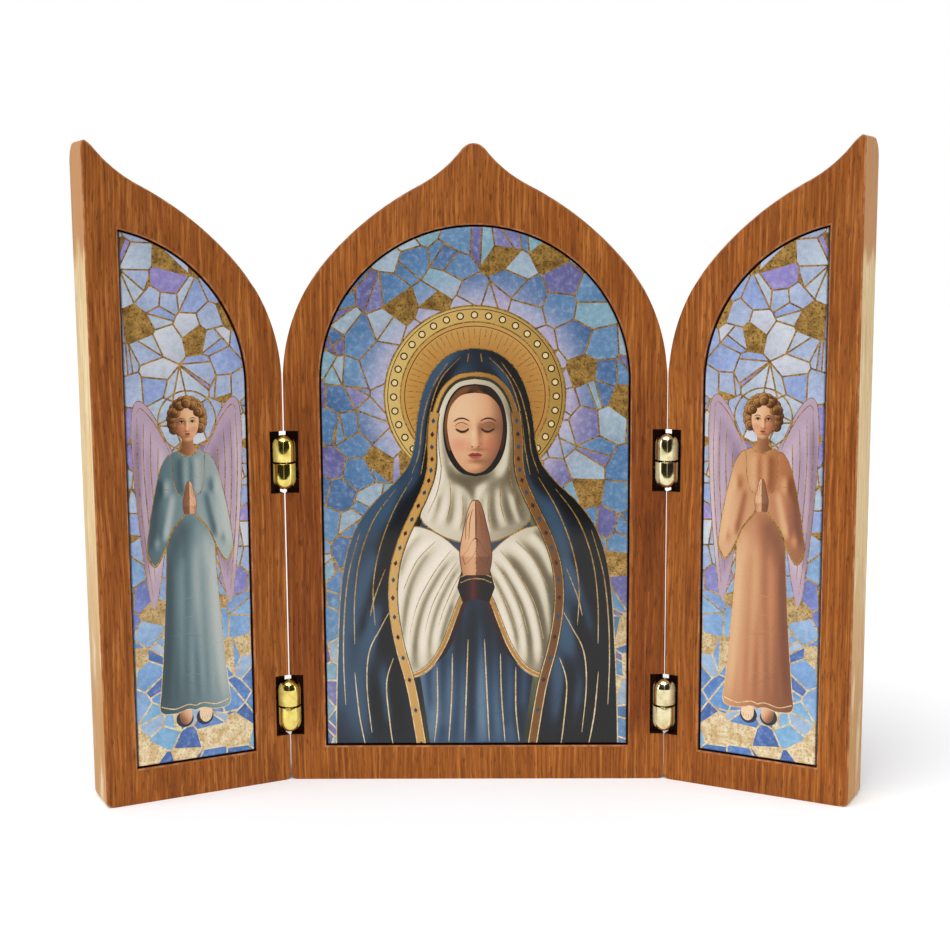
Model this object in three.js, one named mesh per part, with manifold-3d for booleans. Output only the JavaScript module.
// A small standing triptych: a centre panel with an ogee head and two wings, each half as
// wide, that fold shut over it. Every board carries a printed plaque in a shallow arched
// recess, and the wings turn on small round barrel hinges let into the front corners.
//
// Millimetres, +X to the right, +Y to the back, +Z up. The origin is the middle of the
// centre panel's underside. The wings stand half open, as the triptych is displayed.
import * as THREE from 'three';
import { mergeVertices } from 'three/addons/utils/BufferGeometryUtils.js';
import Module from 'manifold-3d';

const wasm = await Module();
wasm.setup();

// Boards
const PANEL_WIDTH = 78;
const PANEL_HEIGHT = 131.2;
const BOARD_THICKNESS = 10;
const SEAM = 0.16;            // between a wing and the panel when they stand in line
const FREE_EDGE_GAP = 0.15;   // from a closed wing's free edge to the panel's middle
const FOOT_RADIUS = 1.2;      // rounding of the bottom corners
const WING_TIP_RADIUS = 0.8;  // rounding of a wing's tip at its free edge
const TIP_EASE_RADIUS = 4;    // rounding of each tip's back corner, seen from the side

// Ogee head, from the straight side up to the tip: radius of each arc, and the slope from
// the vertical, in degrees, where it ends
const SHOULDER_ARC = { radius: 37, endSlope: 41 };
const FLANK_ARC = { radius: 63, endSlope: 63 };
const NECK_ARC = { radius: 26, endSlope: 38 };

// Recesses and plaques
const FRAME_SIDE = 7.35;      // wood beside the recess
const FRAME_BOTTOM = 7.2;     // wood below the recess
const WING_STILE = 6.6;       // wood at a wing's free edge
const ARCH_SPRING = 83.5;     // height where the recess starts to round over
const RECESS_DEPTH = 2;
const PLAQUE_GAP = 0.35;      // around a plaque and behind it
const PLAQUE_SUNK = 0.25;     // plaque front below the wood
const PLAQUE_EDGE_RADIUS = 0.4;

// Hinges
const REST_TURN = 27.5;       // degrees that a wing stands forward of the panel's plane
const AXIS_PROUD = 0.2;       // hinge axis in front of the boards' faces
const HINGE_HEIGHTS = { lower: 16.15, upper: 67.4 };
const BARREL_RADIUS = 2.3;
const BARREL_LENGTH = 11.3;
const BARREL_SPLIT = 0.3;     // between the two halves of a barrel
const RIM_CHAMFER = 0.15;
const PIN_RADIUS = 0.9;
const PIN_CLEARANCE = 0.07;
const PIN_LENGTH = 3;
const PIN_END_CLEARANCE = 0.2;
const SHANK_RADIUS = 1;
const SHANK_END = 8;          // distance of a shank's end from the hinge axis
const SHANK_ROOT = 0.4;       // start of a shank inside the wall of its socket
const SHANK_TURN = 45;        // degrees from the board's face
const BORE_CLEARANCE = 0.3;
const MORTISE_WIDTH = 2.85;   // into each board's edge
const MORTISE_HEIGHT = 12.8;
const MORTISE_DEPTH = 2.4;

// Fineness of round stretches
const ARC_STEP = 1.6;         // length of a chord on the outlines
const BARREL_SIDES = 24;
const DOME_STEPS = 5;
const SHANK_SIDES = 12;
const EASE_SIDES = 48;        // sides of the whole round that eases the tips

const OVERRUN = 1;            // how far a cutter reaches past the wood it cuts

const HALF_WIDTH = PANEL_WIDTH / 2;
const AXIS_X = HALF_WIDTH + SEAM / 2;
const RECESS_HALF_WIDTH = HALF_WIDTH - FRAME_SIDE;
const degrees = THREE.MathUtils.degToRad;

// ---------------------------------------------------------------- solids and outlines

// The solid of a closed geometry, for joins and cuts.
function solid(geometry) {
  const bare = geometry.clone();
  bare.deleteAttribute('normal');
  bare.deleteAttribute('uv');
  const merged = mergeVertices(bare, 1e-4);
  const corners = Array.from(merged.index.array);
  const triangles = [];
  for (let i = 0; i < corners.length; i += 3) {
    const [a, b, c] = corners.slice(i, i + 3);
    if (a !== b && b !== c && c !== a) triangles.push(a, b, c);
  }
  return new wasm.Manifold(new wasm.Mesh({
    numProp: 3,
    vertProperties: new Float32Array(merged.attributes.position.array),
    triVerts: new Uint32Array(triangles),
  }));
}

// The geometry of a solid.
function geometryOf(body) {
  const mesh = body.getMesh();
  const geometry = new THREE.BufferGeometry();
  geometry.setAttribute('position', new THREE.BufferAttribute(mesh.vertProperties, 3));
  geometry.setIndex(new THREE.BufferAttribute(mesh.triVerts, 1));
  geometry.computeVertexNormals();
  return geometry;
}

// Points of an arc about (x, y), from one angle to another in degrees, both ends included.
function arcPoints(x, y, radius, from, to) {
  const steps = Math.max(3, Math.ceil(Math.abs(degrees(to - from)) * radius / ARC_STEP));
  return Array.from({ length: steps + 1 }, (_, i) => {
    const angle = degrees(from + (to - from) * i / steps);
    return new THREE.Vector2(x + radius * Math.cos(angle), y + radius * Math.sin(angle));
  });
}

// An upright board shape (x, z) made a slab between two depths behind y = 0. A rounded
// edge, if any, lies within the shape and the slab.
function slab(points, front, back, edge = 0) {
  const geometry = new THREE.ExtrudeGeometry(new THREE.Shape(points), {
    depth: back - front - 2 * edge,
    bevelEnabled: edge > 0,
    bevelThickness: edge,
    bevelSize: edge,
    bevelOffset: -edge,
    bevelSegments: 3,
  });
  return geometry.rotateX(Math.PI / 2).translate(0, back - edge, 0);
}

function box(x0, x1, y0, y1, z0, z1) {
  const geometry = new THREE.BoxGeometry(x1 - x0, y1 - y0, z1 - z0);
  return geometry.translate((x0 + x1) / 2, (y0 + y1) / 2, (z0 + z1) / 2);
}

// Right half of the ogee head, from the top of the straight side to the tip on the axis.
// Each arc starts where and as the last one ends; the tip's arc closes it on the axis.
function ogeeHalf() {
  const points = [new THREE.Vector2(HALF_WIDTH, 0)];
  let slope = 0;
  for (const { radius, endSlope } of [SHOULDER_ARC, FLANK_ARC, NECK_ARC]) {
    const outward = Math.sign(endSlope - slope) * radius;
    const start = points.at(-1);
    const x = start.x - outward * Math.cos(degrees(slope));
    const y = start.y - outward * Math.sin(degrees(slope));
    const flip = outward < 0 ? 180 : 0;
    points.push(...arcPoints(x, y, radius, slope + flip, endSlope + flip).slice(1));
    slope = endSlope;
  }
  const neck = points.at(-1);
  const tipRadius = neck.x / Math.cos(degrees(slope));
  const tipCentre = neck.y - tipRadius * Math.sin(degrees(slope));
  points.push(...arcPoints(0, tipCentre, tipRadius, slope, 90).slice(1));
  const rise = points.at(-1).y;
  return points.map((p) => new THREE.Vector2(p.x, p.y + PANEL_HEIGHT - rise));
}

// Outline of the centre panel.
function panelOutline() {
  const right = [
    ...arcPoints(HALF_WIDTH - FOOT_RADIUS, FOOT_RADIUS, FOOT_RADIUS, -90, 0),
    ...ogeeHalf(),
  ];
  const left = right.slice(0, -1).reverse().map((p) => new THREE.Vector2(-p.x, p.y));
  return [...right, ...left];
}

// Outline of a wing: the right half of the panel's, kept clear of the panel's middle.
function wingOutline() {
  const tip = FREE_EDGE_GAP + WING_TIP_RADIUS;
  return [
    ...arcPoints(FREE_EDGE_GAP + FOOT_RADIUS, FOOT_RADIUS, FOOT_RADIUS, 180, 270),
    ...arcPoints(HALF_WIDTH - FOOT_RADIUS, FOOT_RADIUS, FOOT_RADIUS, -90, 0),
    ...ogeeHalf().filter((p) => p.x > tip),
    ...arcPoints(tip, PANEL_HEIGHT - WING_TIP_RADIUS, WING_TIP_RADIUS, 90, 180),
  ];
}

// Outline of the centre recess, or, inset, of the plaque in it.
function archOutline(inset) {
  const halfWidth = RECESS_HALF_WIDTH - inset;
  const bottom = FRAME_BOTTOM + inset;
  return [
    new THREE.Vector2(-halfWidth, bottom),
    new THREE.Vector2(halfWidth, bottom),
    ...arcPoints(0, ARCH_SPRING, halfWidth, 0, 180),
  ];
}

// Outline of a wing's recess or plaque: the right part of the arch, cut straight along the
// free edge's stile.
function halfArchOutline(inset) {
  const outer = RECESS_HALF_WIDTH - inset;
  const inner = WING_STILE + inset;
  const bottom = FRAME_BOTTOM + inset;
  const end = THREE.MathUtils.radToDeg(Math.acos(inner / outer));
  return [
    new THREE.Vector2(inner, bottom),
    new THREE.Vector2(outer, bottom),
    ...arcPoints(0, ARCH_SPRING, outer, 0, end),
  ];
}

// -------------------------------------------------------------------------- sub-parts

// The wood taken off each tip's back corner: a square block less its quarter round.
function tipEaseCutter() {
  const inner = PANEL_HEIGHT - TIP_EASE_RADIUS;
  const depth = BOARD_THICKNESS - TIP_EASE_RADIUS;
  const reach = TIP_EASE_RADIUS + OVERRUN;
  const block = solid(box(-HALF_WIDTH, HALF_WIDTH, depth, depth + reach, inner, inner + reach));
  const length = PANEL_WIDTH + 2 * OVERRUN;
  const round = new THREE.CylinderGeometry(TIP_EASE_RADIUS, TIP_EASE_RADIUS, length, EASE_SIDES);
  round.rotateZ(Math.PI / 2).translate(0, depth, inner);
  return block.subtract(solid(round));
}

// A shank of the given radius leaving the hinge axis towards one side (-1 left, 1 right)
// and the back, at a height from the hinge's middle.
function shank(side, height, radius, start, end) {
  const geometry = new THREE.CylinderGeometry(radius, radius, end - start, SHANK_SIDES);
  geometry.translate(0, (start + end) / 2, 0);
  const turn = side > 0 ? 90 - SHANK_TURN : SHANK_TURN - 90;
  return geometry.rotateZ(-degrees(turn)).translate(0, 0, height);
}

// Height of the shank of a barrel half above (socket half) or below (pin half) the middle.
const SHANK_HEIGHT = (BARREL_SPLIT + BARREL_LENGTH) / 4 - RIM_CHAMFER;

// Cuts the mortises and the shank bores of a board whose hinge axis is at axisX, with the
// board on the given side of the axis. The axis lies at y = -AXIS_PROUD.
function letInHinges(board, axisX, side, shankSign) {
  let cut = board;
  const near = axisX - side * OVERRUN;
  const far = axisX + side * (SEAM / 2 + MORTISE_WIDTH);
  for (const middle of Object.values(HINGE_HEIGHTS)) {
    const mortise = box(Math.min(near, far), Math.max(near, far), -OVERRUN, MORTISE_DEPTH,
      middle - MORTISE_HEIGHT / 2, middle + MORTISE_HEIGHT / 2);
    const bore = shank(side, shankSign * SHANK_HEIGHT, SHANK_RADIUS + BORE_CLEARANCE,
      BARREL_RADIUS, SHANK_END + BORE_CLEARANCE);
    bore.translate(axisX, -AXIS_PROUD, middle);
    cut = cut.subtract(solid(mortise)).subtract(solid(bore));
  }
  return cut;
}

function centrePanel() {
  let board = solid(slab(panelOutline(), 0, BOARD_THICKNESS)).subtract(tipEaseCutter());
  board = board.subtract(solid(slab(archOutline(0), -OVERRUN, RECESS_DEPTH)));
  board = letInHinges(board, -AXIS_X, 1, -1);
  board = letInHinges(board, AXIS_X, -1, -1);
  return geometryOf(board);
}

// A wing that reaches from its hinge axis at the right (side -1) or at the left (side 1),
// in the plane of the panel, with the hinge axis at x = 0 and y = 0.
function wing(side) {
  let board = solid(slab(wingOutline(), 0, BOARD_THICKNESS)).subtract(tipEaseCutter());
  board = board.subtract(solid(slab(halfArchOutline(0), -OVERRUN, RECESS_DEPTH)));
  board = letInHinges(board, AXIS_X, -1, 1).translate([-AXIS_X, AXIS_PROUD, 0]);
  return geometryOf(side > 0 ? board.mirror([1, 0, 0]) : board);
}

// A plaque in the panel's frame, with rounded edges.
function plaque(points) {
  return slab(points, PLAQUE_SUNK, RECESS_DEPTH - PLAQUE_GAP, PLAQUE_EDGE_RADIUS);
}

function centrePlaque() {
  return geometryOf(solid(plaque(archOutline(PLAQUE_GAP))));
}

function wingPlaque(side) {
  const body = solid(plaque(halfArchOutline(PLAQUE_GAP))).translate([-AXIS_X, AXIS_PROUD, 0]);
  return geometryOf(side > 0 ? body.mirror([1, 0, 0]) : body);
}

// Outer profile of a barrel half, from its chamfered rim to the top of its domed end.
function barrelProfile() {
  const rim = BARREL_SPLIT / 2;
  const springs = BARREL_LENGTH / 2 - BARREL_RADIUS;
  const dome = Array.from({ length: DOME_STEPS + 1 }, (_, i) => {
    const angle = degrees(90) * i / DOME_STEPS;
    const x = i === DOME_STEPS ? 0 : BARREL_RADIUS * Math.cos(angle);
    return new THREE.Vector2(x, springs + BARREL_RADIUS * Math.sin(angle));
  });
  return [
    new THREE.Vector2(BARREL_RADIUS - RIM_CHAMFER, rim),
    new THREE.Vector2(BARREL_RADIUS, rim + RIM_CHAMFER),
    ...dome,
  ];
}

// Upper half of a hinge: a domed barrel with a socket for the pin, and its shank.
function socketHalf(side) {
  const wall = PIN_RADIUS + PIN_CLEARANCE;
  const ceiling = BARREL_SPLIT / 2 + PIN_LENGTH + PIN_END_CLEARANCE;
  const profile = [
    new THREE.Vector2(0, ceiling),
    new THREE.Vector2(wall, ceiling),
    new THREE.Vector2(wall, BARREL_SPLIT / 2),
    ...barrelProfile(),
  ];
  const barrel = new THREE.LatheGeometry(profile, BARREL_SIDES).rotateX(Math.PI / 2);
  const arm = shank(side, SHANK_HEIGHT, SHANK_RADIUS, wall + SHANK_ROOT, SHANK_END);
  return geometryOf(solid(barrel).add(solid(arm)));
}

// Lower half of a hinge: a domed barrel with the pin standing on it, and its shank.
function pinHalf(side) {
  const top = PIN_LENGTH - BARREL_SPLIT / 2;
  const profile = [
    ...barrelProfile().map((p) => new THREE.Vector2(p.x, -p.y)).reverse(),
    new THREE.Vector2(PIN_RADIUS, -BARREL_SPLIT / 2),
    new THREE.Vector2(PIN_RADIUS, top - RIM_CHAMFER),
    new THREE.Vector2(PIN_RADIUS - RIM_CHAMFER, top),
    new THREE.Vector2(0, top),
  ];
  const barrel = new THREE.LatheGeometry(profile, BARREL_SIDES).rotateX(Math.PI / 2);
  const arm = shank(side, -SHANK_HEIGHT, SHANK_RADIUS, 0, SHANK_END);
  return geometryOf(solid(barrel).add(solid(arm)));
}

// --------------------------------------------------------------------------- assembly

const veneer = { color: 0x9a5a2c, roughness: 0.55, metalness: 0 };
const print = { color: 0x6f9cc4, roughness: 0.3, metalness: 0 };
const goldBrass = { color: 0xd9b75a, roughness: 0.2, metalness: 1 };
const paleBrass = { color: 0xcfc6ac, roughness: 0.2, metalness: 1 };

function part(name, geometry, look) {
  const mesh = new THREE.Mesh(geometry, new THREE.MeshStandardMaterial(look));
  mesh.name = name;
  return mesh;
}

// The centre panel, its plaque and the hinge halves that stay with it.
function centreGroup() {
  const group = new THREE.Group();
  group.position.y = -BOARD_THICKNESS / 2;
  group.add(part('centre_panel', centrePanel(), veneer));
  group.add(part('centre_plaque', centrePlaque(), print));
  for (const [name, side, brass] of [['left', -1, goldBrass], ['right', 1, paleBrass]]) {
    for (const [place, height] of Object.entries(HINGE_HEIGHTS)) {
      const half = part(`${name}_${place}_hinge_pin_half`, pinHalf(-side), brass);
      half.position.set(side * AXIS_X, -AXIS_PROUD, height);
      group.add(half);
    }
  }
  return group;
}

// A wing with its plaque and hinge halves, turned forward about its hinge axis.
function wingGroup(name, side, brass) {
  const group = new THREE.Group();
  group.position.set(side * AXIS_X, -BOARD_THICKNESS / 2 - AXIS_PROUD, 0);
  group.rotation.z = -side * degrees(REST_TURN);
  group.add(part(`${name}_wing`, wing(side), veneer));
  group.add(part(`${name}_plaque`, wingPlaque(side), print));
  for (const [place, height] of Object.entries(HINGE_HEIGHTS)) {
    const half = part(`${name}_${place}_hinge_socket_half`, socketHalf(side), brass);
    half.position.z = height;
    group.add(half);
  }
  return group;
}

const triptych = new THREE.Group();
triptych.add(centreGroup());
triptych.add(wingGroup('left', -1, goldBrass));
triptych.add(wingGroup('right', 1, paleBrass));

export default triptych;
